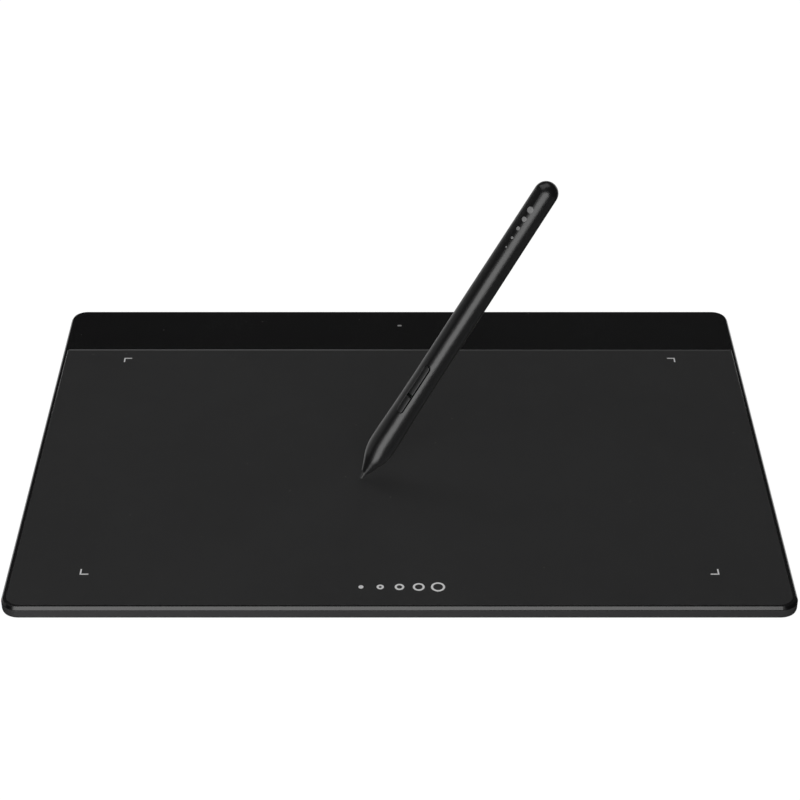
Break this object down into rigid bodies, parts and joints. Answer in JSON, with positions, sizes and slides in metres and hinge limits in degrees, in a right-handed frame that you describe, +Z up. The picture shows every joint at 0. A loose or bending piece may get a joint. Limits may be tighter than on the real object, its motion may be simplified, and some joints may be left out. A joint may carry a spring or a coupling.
{
  "type": "pen drawing tablet",
  "caption": "Thin flat pen drawing tablet with a textured drawing sheet, smooth rear strip and status light, and a battery-free pen with side buttons standing on the sheet.",
  "frame": {"origin": "middle of the tablet's footprint, on the plane of its feet", "axes": "+X to the user's right along the long side, +Y to the rear edge with the cable inlet, +Z up"},
  "size_m": [0.3126, 0.2208, 0.1336],
  "materials": {
    "case_top": "satin",
    "case_bottom": "satin",
    "sheet_film": "matte",
    "foot_rubber": "matte",
    "case_screw_steel": "satin",
    "board_screw_steel": "satin",
    "sensor_laminate": "satin",
    "insulation_film": "satin",
    "shield_steel": "satin",
    "connector_plastic": "matte",
    "ribbon_film": "satin",
    "board_laminate": "satin",
    "processor_epoxy": "matte",
    "signal_epoxy": "matte",
    "crystal_can": "satin",
    "regulator_epoxy": "matte",
    "capacitor_ceramic": "satin",
    "port_steel": "satin",
    "port_plastic": "satin",
    "contact_gold": "satin",
    "led_lens": "gloss",
    "light_pipe_clear": "gloss",
    "pen_barrel_skin": "satin",
    "pen_nose_skin": "satin",
    "nib_plastic": "satin",
    "holder_plastic": "satin",
    "rear_button_plastic": "satin",
    "front_button_plastic": "satin",
    "rear_switch_body": "satin",
    "front_switch_body": "satin",
    "ferrite": "satin",
    "coil_copper": "satin",
    "sensor_housing": "satin",
    "carrier_plastic": "satin",
    "pen_board_laminate": "satin",
    "identity_epoxy": "matte",
    "tuning_ceramic": "satin"
  },
  "bodies": {
    "tablet": {"top_case": "case_top", "bottom_case": "case_bottom", "drawing_sheet": "sheet_film", "case_screws": "case_screw_steel", "board_screws": "board_screw_steel", "sensor_board": "sensor_laminate", "insulation_sheet": "insulation_film", "shield_plate": "shield_steel", "ribbon_connectors": "connector_plastic", "ribbon_cable": "ribbon_film", "controller_board": "board_laminate", "processor_chip": "processor_epoxy", "signal_chip": "signal_epoxy", "clock_crystal": "crystal_can", "voltage_regulator": "regulator_epoxy", "board_capacitors": "capacitor_ceramic", "port_shell": "port_steel", "port_insulator": "port_plastic", "port_contacts": "contact_gold", "status_led": "led_lens", "light_pipe": "light_pipe_clear", "foot_front_left": "foot_rubber", "foot_front_right": "foot_rubber", "foot_rear_left": "foot_rubber", "foot_rear_right": "foot_rubber"},
    "pen": {"pen_barrel": "pen_barrel_skin", "pen_nose_cone": "pen_nose_skin", "rear_switch": "rear_switch_body", "front_switch": "front_switch_body", "ferrite_core": "ferrite", "resonance_coil": "coil_copper", "pressure_sensor": "sensor_housing", "inner_carrier": "carrier_plastic", "pen_board": "pen_board_laminate", "identity_chip": "identity_epoxy", "tuning_capacitors": "tuning_ceramic"},
    "nib": {"pen_nib": "nib_plastic", "nib_holder": "holder_plastic"},
    "rear_button": {"rear_button": "rear_button_plastic"},
    "front_button": {"front_button": "front_button_plastic"}
  },
  "joints": [
    {"name": "pen_lift", "type": "slide", "parent": "tablet", "child": "pen", "axis": [0, 0, 1], "range_m": [0, 0.06]},
    {"name": "nib_press", "type": "slide", "parent": "pen", "child": "nib", "axis": [0.5196, 0.2068, 0.829], "range_m": [0, 0.0006], "stiffness_N_per_m": 3000},
    {"name": "rear_button_press", "type": "slide", "parent": "pen", "child": "rear_button", "axis": [0.4377, 0.7689, -0.4661], "range_m": [0, 0.00035], "stiffness_N_per_m": 4000},
    {"name": "front_button_press", "type": "slide", "parent": "pen", "child": "front_button", "axis": [0.4377, 0.7689, -0.4661], "range_m": [0, 0.00035], "stiffness_N_per_m": 4000}
  ]
}
